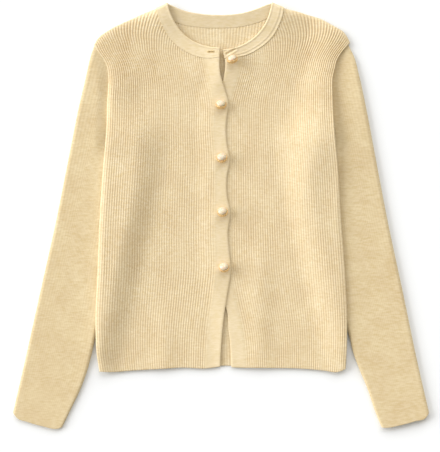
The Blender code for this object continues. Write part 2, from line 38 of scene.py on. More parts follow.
# ---- the knit, in millimetres ----
CLOTH = 2.0  # wall of the rib knit
BAND_CLOTH = 2.4  # the neckband is folded double
SEAM = 0.06  # gap between pieces that meet edge to edge
LAYER = 0.3  # gap between pieces that lie on each other
EASE = 0.6  # air between the front and the back where nothing lifts the front
BAND_ROUND = 3.0  # how far in from its free edge a front band thins down
EDGE_ROUND = 1.3  # how far in from its rim a cloth edge rounds over

FRONT_RIBS = 48
BACK_RIBS = 90
SLEEVE_RIBS = 60
COLUMNS_PER_RIB = 6
RIB_RELIEF = 0.9  # depth of the grooves between the ribs where they are deepest, by the shoulders
BODY_RELIEF = 0.5  # and lower on the body
SLEEVE_RELIEF = 0.1  # the sleeves' ribs are closed up and shallower
BAND_FADE = 9.0  # width beside a plain band over which the ribs die away
COURSE = 1.4  # height of one row of stitches
BAND_WALE = 1.5  # width of one column of stitches in the plain knit
STITCH_RELIEF = 0.12  # height of its small Vs
SHARP_ANGLE = 50.0  # degrees, over which an edge of the cloth stays crisp

# ---- the shape, in millimetres ----
BODY_LENGTH = 540.0
HEM_MIDDLE = -229.0  # height of the hem at the front edges
NECK_MIDDLE = 236.5  # height of the neckline there
BAND_WIDTH = 19.0
BAND_LENGTH = 466.0
EDGE_ROLL = 10.0  # how far in from a side or shoulder the front rolls down
LEFT_ROLL = 1.6  # the same along the left armhole, where the edge falls steeply
COLLAR_RISE = 6.0  # how far the fronts stand up beside the neck
PLACKET_RISE = 3.2  # and along the opening below the neck
LAP_RISE = 2.5  # how far the right front climbs to lie on the left one
LAP_RUN = 32.0  # the length of that climb
FOLD_SINK_RUN = 45.0  # how far beyond its slope a long fold takes to sink
HEM_FOLD_RUN = 90.0  # the length over which a soft fold above the hem grows
ARMHOLE_FOOT = 100.0  # height at which the armhole's seam begins to hold the front
ARMHOLE_TURN = 8.0  # width over which the armhole's edge turns into the shoulder's

NECK_FRONT_LENGTH = 130.0  # each front part of the neckband
NECK_BACK_LENGTH = 190.0
NECK_WIDTH = 18.5
NECK_LENGTH = 450.0
NECK_STAND = 3.0  # how far the back neckband tilts up
NECK_FOLD = 4.5  # how far in from the shoulder the neckband rounds over
NECK_CREASE = (8.0, 241.5), (21.0, 249.0)  # the ends of the crease in its undone end

SLEEVE_LENGTH = 570.0
SLEEVE_WIDTH = 100.0  # across the head of a flattened sleeve
CUFF_WIDTH = 70.0
SLEEVE_HEIGHT = 8.4  # a flattened sleeve beside the body, both walls and the air between
SLEEVE_THIN = {"right": 4.9, "left": 8.2}  # the same along its outer edge
SLEEVE_SEAM_HEIGHT = 4.3  # and at the armhole
SLEEVE_ROLL = 4.0  # how far in from its edges the sleeve rounds down
SLEEVE_FALL = 22.0  # how far outside the body the sleeve comes down to its outer height
SEAM_CLIMB = {"right": 18.0, "left": 45.0}  # how far from the armhole it reaches its full height
SLEEVE_HEAD = (256.0, 114.0)  # the ends of the head's seam along the body's side, by height
BODY_LIFT = 9.0  # height of the body's underside over the sleeves
LIFT_RUN = 54.0  # how far past the sleeve the body takes to come down
LIFT_TOP = 178.0  # height at which the sleeves begin to lift the body
LIFT_CLIMB = 80.0  # the length below it over which they do

BUTTON_DIAMETER = 16.5
PEARL_FOOT = 5.7  # height of a pearl's widest ring over the back of its cup
PEARL_RISE = 4.9  # height of the pearl over that ring
BUTTONHOLE_LENGTH = 9.0
BUTTONHOLE_OPEN = 1.2  # how far the slit gapes
BUTTONHOLE_DROP = 0.9  # how far a buttonhole lies below the middle of its button
STITCH_REACH = 0.6  # how far out from the slit the middle of each overcast stitch lies
STITCH_SIZE = (0.36, 0.85, 0.32)  # half of its thickness, of its length and of its height
STITCH_COUNT = 44
NECK_BUTTONHOLE = (-15.0, 245.5)  # the middle of the one in the neckband
BUTTON_STAND = 3.4  # height of a fastened button's back over the right band
LOOSE_STAND = 5.8  # the same of the undone top button over the neckband

# ---- the view ----
VIEW_CENTRE = (-1.5, -15.75)
VIEW_HEIGHT = 678.0  # from its top to its bottom, on the cloth
VIEW_LEVEL = 6.0  # height of the cloth there
CAMERA_HEIGHT = 3200.0
SENSOR = 36.0


def table(names, *rows):
    """Rows of numbers under named columns."""
    return dict(zip(names.split(), np.array(rows, float).T))


# Armhole and side edge of the body, and above the shoulder tip the line that
# the ribs follow there. Each height has the x of the two edges.
SIDES = table(
    "height right left",
    (-236, -182.0, 186.5),
    (-209, -186.0, 188.0),
    (-172, -188.0, 189.0),
    (-82, -185.0, 185.5),
    (-7, -182.0, 180.0),
    (68, -177.0, 175.5),
    (128, -172.0, 170.0),
    (173, -171.0, 168.0),
    (209, -169.5, 168.5),
    (221, -171.0, 171.5),
    (233, -175.5, 174.5),
    (246, -185.0, 182.5),
    (257, -190.5, 192.0),
    (272, -201.0, 203.0),
    (290, -209.0, 212.0),
    (314, -216.0, 220.0),
)

# Shoulder line: its height at each distance from the middle.
SHOULDERS = table(
    "reach right left",
    (0, 346.0, 340.0),
    (50, 328.0, 325.0),
    (75, 319.5, 317.5),
    (97, 310.8, 310.8),
    (115, 304.0, 306.0),
    (132, 296.0, 300.5),
    (150, 288.0, 295.0),
    (165, 280.5, 287.0),
    (176, 273.5, 281.0),
    (184, 267.0, 275.5),
    (189, 259.0, 269.0),
    (193, 250.0, 261.0),
    (200, 232.0, 242.0),
)

# Front edge of the right front, which is on top: it swells at each button.
TOP_EDGE = table(
    "height x",
    (-236, -1.6),
    (-202, 0.0),
    (-157, 3.8),
    (-112, 10.5),
    (-82, 15.0),
    (-52, 12.0),
    (-26, 10.4),
    (4, 13.5),
    (31, 9.0),
    (53, 8.4),
    (86, 12.8),
    (106, 9.0),
    (128, 7.2),
    (143, 8.2),
    (169, 11.2),
    (188, 6.0),
    (203, 1.5),
    (215, -1.5),
    (238, -2.2),
)

# Front edge of the left front, hidden under the right one along most of its length.
UNDER_EDGE = table(
    "height x",
    (-236, 16.0),
    (-202, 14.3),
    (-172, 11.3),
    (-145, 9.0),
    (-119, -1.5),
    (-89, -7.5),
    (-60, -9.0),
    (0, -9.0),
    (150, -9.0),
    (180, -7.5),
    (192, -3.0),
    (203, 3.0),
    (215, 5.4),
    (226, 6.5),
    (240, 5.0),
)

# Seam between each front and its band, and above the neckline the way that the ribs lean there.
BAND_SEAM = table(
    "height right left",
    (-236, -20.8, 35.0),
    (-180, -18.0, 31.0),
    (-120, -10.5, 18.5),
    (-80, -6.5, 11.5),
    (-30, -7.5, 10.0),
    (30, -7.2, 10.0),
    (90, -7.0, 10.0),
    (130, -9.5, 10.0),
    (165, -9.5, 11.0),
    (190, -13.5, 17.0),
    (215, -19.0, 24.0),
    (240, -21.5, 25.5),
    (255, -17.0, 18.0),
    (270, -7.0, 7.0),
    (290, 13.0, -15.0),
    (314, 40.0, -42.0),
)

# Hem line of the fronts, and of the back, which ends a little higher.
HEM = table(
    "x front back",
    (-190, -234.0, -232.0),
    (-163, -235.0, -232.0),
    (-135, -233.0, -230.0),
    (-85, -230.0, -227.0),
    (-60, -228.5, -226.0),
    (-20, -229.5, -225.8),
    (0, -227.0, -225.6),
    (16, -228.0, -225.8),
    (75, -229.0, -226.0),
    (120, -230.0, -227.0),
    (155, -233.0, -230.0),
    (175, -235.0, -231.5),
    (190, -229.0, -228.0),
)

# Inner edge of each sleeve, from the underarm to the cuff, by height.
SLEEVE_INNER = table(
    "height right left",
    (-318, -238.5, 241.0),
    (-292, -226.0, 230.5),
    (-262, -211.5, 220.5),
    (-227, -199.0, 206.0),
    (-205, -193.5, 198.0),
    (-180, -187.8, 192.0),
    (-157, -181.5, 185.0),
    (-97, -169.5, 171.5),
    (-37, -156.0, 157.5),
    (23, -142.5, 144.0),
    (76, -133.5, 135.0),
    (110, -131.0, 131.0),
)

# Outer edge of each sleeve, from the cuff to the shoulder tip, by height.
SLEEVE_OUTER = table(
    "height right left",
    (-296, -312.3, 312.3),
    (-223, -295.5, 295.5),
    (-115, -271.5, 273.0),
    (-7, -247.5, 250.0),
    (101, -226.0, 229.5),
    (173, -211.5, 216.0),
    (209, -203.0, 208.5),
    (240, -196.0, 200.5),
    (256, -190.6, 192.8),
)

# Cuff line from the outer edge to the inner one.
CUFF = table(
    "share right_x right_y left_x left_y",
    (0.0, -312.3, -296.0, 312.3, -296.0),
    (0.08, -307.0, -303.0, 307.5, -303.0),
    (0.3, -290.5, -309.5, 291.0, -308.5),
    (0.6, -268.5, -315.5, 268.5, -314.5),
    (0.92, -244.5, -318.8, 246.0, -318.0),
    (1.0, -238.5, -316.8, 241.0, -317.5),
)

# The hidden end of the armhole, under the body, from the side edge to the underarm.
UNDERARM = table(
    "inward height",
    (8.0, 98.0),
    (22.0, 85.0),
    (39.0, 76.0),
)

# The neckband crosses these lines from its seam to its free edge.
# Each front part runs from the front opening to the shoulder.
NECK_RIGHT = table(
    "seam_x seam_y free_x free_y",
    (-2.2, 237.5, -1.6, 251.5),
    (-20.0, 236.0, -15.5, 253.0),
    (-38.0, 239.5, -31.0, 257.0),
    (-54.0, 247.0, -43.5, 263.0),
    (-68.0, 257.0, -55.5, 272.0),
    (-79.0, 269.0, -65.5, 283.5),
    (-87.0, 283.0, -72.0, 295.0),
    (-93.0, 296.5, -77.0, 306.5),
    (-97.0, 310.4, -80.0, 318.0),
)
NECK_LEFT = table(
    "seam_x seam_y free_x free_y",
    (5.0, 236.0, 2.5, 249.0),
    (22.0, 237.0, 15.5, 250.5),
    (40.0, 241.5, 29.0, 255.0),
    (56.0, 250.0, 42.0, 262.0),
    (70.0, 260.5, 53.5, 271.5),
    (80.5, 273.0, 63.0, 283.0),
    (87.5, 287.0, 69.5, 295.0),
    (91.8, 299.0, 73.5, 307.0),
    (94.0, 311.4, 76.0, 318.6),
)
NECK_BACK = table(
    "seam_x seam_y free_x free_y",
    (-97.0, 310.4, -80.0, 318.0),
    (-84.0, 300.0, -70.0, 313.5),
    (-69.0, 291.0, -58.0, 308.5),
    (-50.0, 285.5, -43.0, 304.5),
    (-26.0, 282.6, -22.0, 301.8),
    (-2.0, 282.0, -2.0, 301.0),
    (22.0, 283.0, 19.0, 302.0),
    (44.0, 287.0, 39.0, 305.8),
    (62.0, 293.0, 55.0, 311.0),
    (79.0, 301.5, 67.0, 315.8),
    (94.0, 311.4, 76.0, 318.6),
)

# The long fold down each front: where its slope is, how high it rises towards the side, over
# what width, and what share of that height it loses again beyond the slope.
RIGHT_FOLD = table(
    "height x rise width sink",
    (-215, -165.0, 1.6, 30, 0.0),
    (-194, -161.0, 2.0, 32, 0.0),
    (-127, -149.0, 3.6, 38, 0.0),
    (-52, -133.0, 4.1, 42, 0.0),
    (23, -116.0, 3.4, 38, 0.0),
    (98, -113.0, 1.4, 46, 0.0),
    (173, -138.0, 5.4, 52, 0.0),
    (233, -138.0, 1.4, 70, 0.0),
    (300, -150.0, 1.2, 80, 0.0),
)
LEFT_FOLD = table(
    "height x rise width sink",
    (-215, 161.0, 0.6, 20, 0.7),
    (-194, 159.0, 0.8, 22, 0.7),
    (-127, 145.0, 1.3, 28, 0.6),
    (-52, 121.0, 2.2, 30, 0.5),
    (23, 110.0, 3.6, 34, 0.5),
    (98, 121.0, 6.6, 50, 0.4),
    (173, 129.0, 9.2, 54, 0.2),
    (233, 139.0, 5.4, 46, 0.75),
    (300, 150.0, 3.2, 60, 0.8),
)

# Buttons from the neck down: where each is, and how far its head leans.
BUTTONS = table(
    "x y lean_back lean_right",
    (18.0, 230.0, 54.0, -24.0),
    (0.2, 162.6, 50.0, -5.0),
    (1.6, 83.6, 38.0, -8.0),
    (2.8, 2.6, 38.0, -10.0),
    (5.0, -80.4, 38.0, -8.0),
)


# ---- curves and height functions ----
def curve(knots, values, at):
    """Smooth line through a table's rows, at any places."""
    slopes = np.gradient(values, knots)
    at = np.asarray(at, float)
    low = np.clip(np.searchsorted(knots, at) - 1, 0, len(knots) - 2)
    step = knots[low + 1] - knots[low]
    q = np.clip((at - knots[low]) / step, 0, 1)
    ease = q * q * (3 - 2 * q)
    bend = q * (1 - q) * step * ((1 - q) * slopes[low] - q * slopes[low + 1])
    return values[low] * (1 - ease) + values[low + 1] * ease + bend


def soft_step(q):
    """0 to 1 with level ends."""
    q = np.clip(q, 0, 1)
    return q * q * (3 - 2 * q)


def roll(q):
    """A quarter of an ellipse: 0 at the edge, 1 one roll's width in."""
    q = np.clip(q, 0, 1)
    return np.sqrt(np.clip(1 - (1 - q) ** 2, 0, 1))


def hump(off, width):
    """A smooth rise: 1 on its line, and about a third one width off it."""
    return np.exp(-((off / width) ** 2))


def side_edge(side, height):
    return curve(SIDES["height"], SIDES[side], height)


def front_edge(side, height):
    edge = TOP_EDGE if side == "right" else UNDER_EDGE
    return curve(edge["height"], edge["x"], height)


def band_seam(side, height):
    return curve(BAND_SEAM["height"], BAND_SEAM[side], height)


def shoulder_height(x):
    reach = np.abs(x)
    right = curve(SHOULDERS["reach"], SHOULDERS["right"], reach)
    left = curve(SHOULDERS["reach"], SHOULDERS["left"], reach)
    return np.where(x < 0, right, left)


def strip_line(neck, which, share):
    """A point on one edge of a part of the neckband."""
    rows = np.linspace(0, 1, len(neck["seam_x"]))
    return curve(rows, neck[which + "_x"], share), curve(rows, neck[which + "_y"], share)


def neckline(neck):
    """A fine line along the neckband's seam, moved down by the seam's gap."""
    line = np.array(strip_line(neck, "seam", np.linspace(0, 1, 200)))
    line = line[:, np.argsort(line[0])]
    across = np.gradient(line, axis=1)
    across = across / np.maximum(np.hypot(*across), 1e-9)
    return line + np.array([across[1], -across[0]]) * SEAM


FRONT_NECKLINE = {"right": neckline(NECK_RIGHT), "left": neckline(NECK_LEFT)}
BACK_NECKLINE = neckline(NECK_BACK)


def top_outline(line, x):
    """Height of a panel's top edge: the shoulder, and between the shoulders the neckline."""
    inside = (x > line[0, 0]) & (x < line[0, -1])
    return np.where(inside, np.interp(x, *line), shoulder_height(x))


def side_distance(x, y):
    """Distance in from the nearer side edge."""
    distances = []
    for side, sign in (("right", 1), ("left", -1)):
        lean = (side_edge(side, y + 1) - side_edge(side, y - 1)) / 2
        distances.append(sign * (x - side_edge(side, y)) / np.hypot(1, lean))
    return np.minimum(*distances)


def shoulder_distance(x, y):
    """Distance down from the shoulder line."""
    lean = (shoulder_height(x + 1) - shoulder_height(x - 1)) / 2
    return (shoulder_height(x) - y) / np.hypot(1, lean)


def body_lift(x, y):
    """Height of the body's underside, which climbs over the sleeves' hidden halves."""
    near = np.minimum(
        x - curve(SLEEVE_INNER["height"], SLEEVE_INNER["right"], y),
        curve(SLEEVE_INNER["height"], SLEEVE_INNER["left"], y) - x,
    )
    less = 0.3 * soft_step((-192 - y) / 44)  # near the hem
    held = soft_step((LIFT_TOP - y) / LIFT_CLIMB) * (1 - less)
    return BODY_LIFT * held * (1 - soft_step((near - 2) / LIFT_RUN))


def hem_ridge(x, y, foot, start, width):
    """A soft fold that rises towards the hem along the ribs."""
    return hump(x - foot, width) * soft_step((start - y) / HEM_FOLD_RUN)


def long_fold(fold, sign, x, y):
    """The slope of a front's long fold, beyond which it sinks a little towards the side."""
    knots = fold["height"]
    past = sign * (x - curve(knots, fold["x"], y))
    width = curve(knots, fold["width"], y)
    sinks = 1 - curve(knots, fold["sink"], y) * soft_step((past - width / 2) / FOLD_SINK_RUN)
    return curve(knots, fold["rise"], y) * soft_step(0.5 + past / width) * sinks


def front_air(x, y):
    """Height of the air between the back and the front.

    The collar's rise is round the two points where the shoulders meet the neck,
    and the placket's is along the opening, from just over its topmost fastened
    button upwards.
    """
    puff = np.maximum(long_fold(RIGHT_FOLD, -1, x, y), long_fold(LEFT_FOLD, 1, x, y))
    collar = COLLAR_RISE * hump(np.hypot(np.abs(x + 2) - 86, y - 306), 34)
    placket = PLACKET_RISE * hump(x - 2, 40) * soft_step((y - 172) / 45)
    folds = 2.0 * hem_ridge(x, y, -86, -115, 17) + 2.2 * hem_ridge(x, y, 58, -20, 19)
    return EASE + np.maximum(puff, collar) + placket + folds


def lap(side, x, y):
    """Extra height of the right front where it lies on the left one."""
    if side == "left":
        return 0 * x
    start = front_edge("left", y) - LAP_RUN
    return LAP_RISE * soft_step((x - start) / (LAP_RUN - 1))


def front_heights(side, x, y):
    """Bottom and top of a front, which rolls down to the back at its sides and shoulder.

    A rolled edge is thin, and one that is sewn to a sleeve is nearly whole.
    """
    foot = body_lift(x, y) + CLOTH + LAYER
    to_side, to_shoulder = side_distance(x, y), shoulder_distance(x, y)
    edge = np.minimum(to_side, to_shoulder)
    air = front_air(x, y)
    rise = lap(side, x, y)
    armhole = soft_step(0.5 + (to_shoulder - to_side) / ARMHOLE_TURN)
    sewn = soft_step((y - ARMHOLE_FOOT) / 25) * armhole
    thin = CLOTH * (0.4 + 0.5 * sewn)
    steep = (x > 0) * soft_step((y + 40) / 120) * armhole
    width = EDGE_ROLL + (LEFT_ROLL - EDGE_ROLL) * steep
    bottom = foot + rise + air * roll((edge - CLOTH) / width)
    top = foot + rise + thin + (air + CLOTH - thin) * roll(edge / width)
    return bottom, top


# ---- cloth ----
def new_mesh(name, bm):
    """Ends a bmesh as a new mesh."""
    mesh = bpy.data.meshes.new(name)
    bm.to_mesh(mesh)
    bm.free()
    return mesh


def new_object(name, data):
    """Puts a mesh, a light or a camera in the scene."""
    thing = bpy.data.objects.new(name, data)
    bpy.context.scene.collection.objects.link(thing)
    return thing


def soft_noise(x, y, wave, seed):
    """Smooth unevenness from -1 to 1, the same each run, with bumps about wave wide."""
    rng = np.random.default_rng(seed)
    total = 0 * x
    for turn in rng.uniform(0, 2 * math.pi, (7, 2)):
        pitch = 2 * math.pi / (wave * rng.uniform(0.8, 1.7))
        total = total + np.sin((x * math.cos(turn[0]) + y * math.sin(turn[0])) * pitch + turn[1])
    return total / 4.5


def press_ribs(points, phase, relief, tube=False):
    """Moves both faces in along their normals, into the grooves between the ribs.

    The lower face's ribs lie opposite the upper one's grooves, as in a rib knit.
    """
    for face, out in enumerate((-1, 1)):
        along = np.gradient(points[face], axis=0)
        across = np.gradient(points[face], axis=1)
        normal = np.cross(across, along)
        normal /= np.maximum(np.linalg.norm(normal, axis=-1, keepdims=True), 1e-9)
        if tube:
            ends = normal[:, 0] + normal[:, -1]
            normal[:, 0] = normal[:, -1] = ends / np.linalg.norm(ends, axis=-1, keepdims=True)
        crest = np.sin(math.pi * (phase + 0.5 * (1 - face))) ** 2
        points[face] -= out * normal * (relief * (1 - crest))[..., None]
    return points


def cloth(name, points, coords, relief, material, tube=False):
    """A closed sheet from the points of its lower and upper face, on one grid.

    coords are the texture coordinates on that grid: ribs or millimetres across,
    and millimetres along. relief is the depth of the ribs there, which the finish
    reads too. A tube's two long edges are merged.
    """
    rows, columns = points.shape[1:3]
    bm = bmesh.new()
    bmesh.ops.create_grid(bm, x_segments=columns - 1, y_segments=rows - 1, size=0.5)
    pulled = bmesh.ops.extrude_face_region(bm, geom=bm.faces[:], use_keep_orig=True)
    upper = [item for item in pulled["geom"] if isinstance(item, bmesh.types.BMVert)]
    bmesh.ops.translate(bm, verts=upper, vec=(0, 0, 1))
    bmesh.ops.recalc_face_normals(bm, faces=bm.faces)
    if tube:
        walls = [f for f in bm.faces if abs(abs(f.calc_center_median().x) - 0.5) < 1e-6]
        bmesh.ops.delete(bm, geom=walls, context="FACES_ONLY")
    mesh = new_mesh(name, bm)
    spots = np.zeros(len(mesh.vertices) * 3, np.float32)
    mesh.vertices.foreach_get("co", spots)
    spots = spots.reshape(-1, 3)
    column = np.rint((spots[:, 0] + 0.5) * (columns - 1)).astype(int)
    row = np.rint((spots[:, 1] + 0.5) * (rows - 1)).astype(int)
    face = np.rint(spots[:, 2]).astype(int)
    corners = np.zeros(len(mesh.loops), np.int32)
    mesh.loops.foreach_get("vertex_index", corners)
    layer = mesh.uv_layers.new(name="knit")
    layer.data.foreach_set("uv", coords[row, column][corners].astype(np.float32).ravel())
    depth = mesh.attributes.new("rib_depth", "FLOAT", "POINT")
    depth.data.foreach_set("value", (relief[row, column] / RIB_RELIEF).astype(np.float32))
    placed = points[face, row, column] * MM
    mesh.vertices.foreach_set("co", placed.astype(np.float32).ravel())
    if tube:
        bm = bmesh.new()
        bm.from_mesh(mesh)
        bmesh.ops.remove_doubles(bm, verts=bm.verts, dist=1e-6)
        bm.to_mesh(mesh)
        bm.free()
    mesh.update()
    mesh.shade_smooth()
    mesh.set_sharp_from_angle(angle=math.radians(SHARP_ANGLE))
    mesh.materials.append(material)
    return new_object(name, mesh)


def place_piece(piece, slot, *nodes):
    """Says what a new piece rides on and stands for. Its slot is not used."""
    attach(piece, "root")
    if nodes:
        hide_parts(*nodes)


def rim(count, length):
    """Rows from 0 to 1 on a length in millimetres, close together at both rims."""
    edge = np.array([0, 0.12, 0.35, 0.75, 1.3, 2.4]) / length
    inner = np.linspace(edge[-1], 1 - edge[-1], count)[1:-1]
    return np.concatenate([edge, inner, 1 - edge[::-1]])


def column_top(across, outline, share):
    """Height at which each rib line meets a panel's top edge, found by halving."""
    # Every top edge lies between these two heights.
    low, high = np.full_like(share, 215.0), np.full_like(share, 316.0)
    for _ in range(30):
        middle = (low + high) / 2
        below = outline(across(share, middle)) > middle
        low, high = np.where(below, middle, low), np.where(below, high, middle)
    return low


def body_relief(x, y):
    """Depth of the ribs on the body: deepest on the shoulders and along the armholes."""
    high = soft_step((y - 110) / 130) * soft_step((np.abs(x) - 60) / 90)
    uneven = 1 + 0.22 * soft_noise(x * 2.5, y, 70, 3)
    shoulder_fade = 0.3 + 0.7 * soft_step(shoulder_distance(x, y) / 5)
    rim_fade = soft_step(side_distance(x, y) / 2.5) * shoulder_fade
    return (BODY_RELIEF + (RIB_RELIEF - BODY_RELIEF) * high) * uneven * rim_fade


def edge_round(distance):
    """Share of the cloth's thickness at a distance in from its rim."""
    return 0.3 + 0.7 * roll(distance / EDGE_ROUND)


def panel(across, outline, hem, heights, relief, ribs, rows):
    """Both faces of a ribbed body panel, whose columns follow the ribs."""
    u = np.linspace(0, 1, ribs * COLUMNS_PER_RIB + 1)
    foot = curve(HEM["x"], HEM[hem], across(u, np.full_like(u, HEM_MIDDLE)))
    y = foot + (column_top(across, outline, u) - foot) * rows[:, None]
    x = across(u, y)
    bottom, top = heights(x, y)
    middle = (top + bottom) / 2
    half = (top - bottom) / 2 * (0.25 + 0.75 * roll((y - foot) / EDGE_ROUND))
    points = np.array([np.stack([x, y, z], axis=-1) for z in (middle - half, middle + half)])
    phase = np.broadcast_to(u * ribs, x.shape)
    depth = relief(x, y)
    coords = np.stack([phase, y], axis=-1)
    return press_ribs(points, phase, depth), coords, depth


def make_back(material):
    """The back panel, whose ribs are shallower and whose edges are thinned from below."""

    def across(u, y):
        right, left = side_edge("right", y), side_edge("left", y)
        return right + (left - right) * u

    def relief(x, y):
        return 0.6 * body_relief(x, y)

    def heights(x, y):
        bottom = body_lift(x, y)
        edge = np.minimum(side_distance(x, y), shoulder_distance(x, y))
        under = 0.6 * CLOTH * (1 - roll(edge / (1.5 * CLOTH)))
        return bottom + under, bottom + CLOTH

    def outline(x):
        return top_outline(BACK_NECKLINE, x)

    rows = rim(76, BODY_LENGTH)
    sheet = panel(across, outline, "back", heights, relief, BACK_RIBS, rows)
    piece = cloth("knit_back", *sheet, material)
    place_piece(piece, "rib_knit", "back")


def make_front(side, material):
    """A ribbed front panel, whose ribs die away beside its plain band."""
    sign = -1 if side == "right" else 1

    def across(u, y):
        share = u if side == "right" else 1 - u
        outer, inner = side_edge(side, y), band_seam(side, y) + sign * SEAM
        return outer + (inner - outer) * share

    def outline(x):
        return top_outline(FRONT_NECKLINE[side], x)

    def heights(x, y):
        return front_heights(side, x, y)

    def relief(x, y):
        return body_relief(x, y) * soft_step((sign * (x - band_seam(side, y)) + 0.5) / BAND_FADE)

    rows = rim(130, BODY_LENGTH)
    sheet = panel(across, outline, "front", heights, relief, FRONT_RIBS, rows)
    piece = cloth("knit_front_" + side, *sheet, material)
    place_piece(piece, "rib_knit", "front_" + side)


def make_band(side, material):
    """The plain strip along a front's edge, from the hem to the neckband."""
    u, v = np.meshgrid(rim(24, BAND_WIDTH), rim(230, BAND_LENGTH))
    seam, edge = (1 - u, u) if side == "right" else (u, 1 - u)

    def across(height):
        return band_seam(side, height) * seam + front_edge(side, height) * edge

    foot = curve(HEM["x"], HEM["front"], across(HEM_MIDDLE))
    y = foot + (np.interp(across(NECK_MIDDLE), *FRONT_NECKLINE[side]) - foot) * v
    x = across(y)
    bottom, top = front_heights(side, x, y)
    thin = roll((1 - edge) * BAND_WIDTH / BAND_ROUND)
    top = bottom + (top - bottom) * (0.5 + 0.5 * thin) * edge_round(v * BAND_LENGTH)
    points = np.array([np.stack([x, y, z], axis=-1) for z in (bottom, top)])
    coords = np.stack([u * BAND_WIDTH, v * BAND_LENGTH], axis=-1)
    piece = cloth("knit_band_" + side, points, coords, 0 * u, material)
    place_piece(piece, "plain_knit", "band_" + side)
    if side == "right":
        for number in range(1, len(BUTTONS["x"])):
            spot = BUTTONS["x"][number], BUTTONS["y"][number] - BUTTONHOLE_DROP
            cut_buttonhole(piece, *spot)
            make_buttonhole_stitches(number, piece, *spot)


def cut_buttonhole(strip, x, y):
    """A level slit with round ends through a band."""
    bm = bmesh.new()
    r = BUTTONHOLE_OPEN / 2
    bmesh.ops.create_cone(bm, cap_ends=True, segments=16, radius1=r, radius2=r, depth=20)
    for vert in bm.verts:
        vert.co.x += math.copysign((BUTTONHOLE_LENGTH - BUTTONHOLE_OPEN) / 2, vert.co.x)
    place = Matrix.Scale(MM, 4) @ Matrix.Translation((x, y, 6))
    bmesh.ops.transform(bm, matrix=place, verts=bm.verts)
    mesh = new_mesh("buttonhole_cutter", bm)
    cutter = new_object("buttonhole_cutter", mesh)
    cut = strip.modifiers.new("buttonhole", "BOOLEAN")
    cut.operation = "DIFFERENCE"
    cut.object = cutter
    whole = strip.data
    slit = strip.evaluated_get(bpy.context.evaluated_depsgraph_get())
    strip.data = bpy.data.meshes.new_from_object(slit)
    strip.modifiers.remove(cut)
    bpy.data.objects.remove(cutter)
    for done in (whole, mesh):
        bpy.data.meshes.remove(done)


def make_buttonhole_stitches(number, strip, x, y):
    """Close overcast stitches all round a buttonhole, each lying across its edge."""
    surface = BVHTree.FromObject(strip, bpy.context.evaluated_depsgraph_get())
    bm = bmesh.new()
    straight = BUTTONHOLE_LENGTH - BUTTONHOLE_OPEN
    reach = BUTTONHOLE_OPEN / 2 + STITCH_REACH
    bend = math.pi * reach
    for at in np.arange(STITCH_COUNT) / STITCH_COUNT * 2 * (straight + bend):
        half, at = divmod(at, straight + bend)
        turn = math.pi * half + max(0.0, at - straight) / bend * math.pi
        centre_x = (min(at, straight) - straight / 2) * (1 if half == 0 else -1)
        away = Vector((math.sin(turn), -math.cos(turn), 0))
        middle = Vector((x + centre_x, y, 0)) + away * reach
        hit = surface.ray_cast(Vector((middle.x, middle.y, 40)) * MM, Vector((0, 0, -1)))[0]
        middle.z = hit.z / MM - 0.05 if hit else 0
        place = Matrix.Translation(middle) @ Matrix.Rotation(turn, 4, "Z")
        place = Matrix.Scale(MM, 4) @ (place @ Matrix.Diagonal((*STITCH_SIZE, 1)))
        bmesh.ops.create_uvsphere(bm, u_segments=6, v_segments=4, radius=1, matrix=place)
    mesh = new_mesh(f"buttonhole_stitches_{number}", bm)
    mesh.shade_smooth()
    mesh.materials.append(bpy.data.materials["sewing_thread"])
    place_piece(new_object(mesh.name, mesh), "plain_knit")


def sleeve_plan(side):
    """The plan of a sleeve: a patch between its armhole, its cuff and its two edges."""
    sign = -1 if side == "right" else 1
    edge_heights = np.linspace(*SLEEVE_HEAD, 24)
    head_x = side_edge(side, edge_heights) + sign * SEAM
    under_x = side_edge(side, UNDERARM["height"]) - sign * UNDERARM["inward"]
    head_y = np.concatenate([edge_heights, UNDERARM["height"]])
    head = np.array([np.concatenate([head_x, under_x]), head_y])
    length = np.concatenate([[0], np.cumsum(np.hypot(*np.diff(head, axis=1)))])
    cuff = [CUFF[side + "_x"], CUFF[side + "_y"]]

    def edge_line(edge, v, top):
        y = top + (edge["height"][0] - top) * v
        return curve(edge["height"], edge[side], y), y

    def plan(w, v):
        outer = edge_line(SLEEVE_OUTER, v, head[1][0])
        inner = edge_line(SLEEVE_INNER, v, head[1][-1])
        starts = edge_line(SLEEVE_OUTER, 0, head[1][0]), edge_line(SLEEVE_INNER, 0, head[1][-1])
        pull = (1 - v) ** 8  # near the armhole only, both edges are drawn to the ends of the head
        spots = []
        for h, c, o, i, o_start, i_start in zip(head, cuff, outer, inner, *starts):
            o = o + (h[0] - o_start) * pull
            i = i + (h[-1] - i_start) * pull
            ends = (1 - v) * curve(length, h, w * length[-1]) + v * curve(CUFF["share"], c, w)
            flat = (1 - v) * ((1 - w) * h[0] + w * h[-1]) + v * ((1 - w) * c[0] + w * c[-1])
            spots.append(ends + (1 - w) * o + w * i - flat)
        return spots

    return plan


def sleeve_height(side, x, y):
    """Height of a sleeve, which falls away from the body and is sewn down at the armhole."""
    off = np.abs(x - side_edge(side, y))
    outside = np.abs(x) > np.abs(side_edge(side, y))
    drop = SLEEVE_HEIGHT - SLEEVE_THIN[side]
    height = SLEEVE_THIN[side] + drop * np.where(outside, np.exp(-off / SLEEVE_FALL), 1)
    below = np.maximum(0, SLEEVE_HEAD[1] - 2 - y)  # under the end of the head's seam
    near = np.hypot(off / SEAM_CLIMB[side], below / 40)
    return height - (height - SLEEVE_SEAM_HEIGHT) * (1 - soft_step(near))


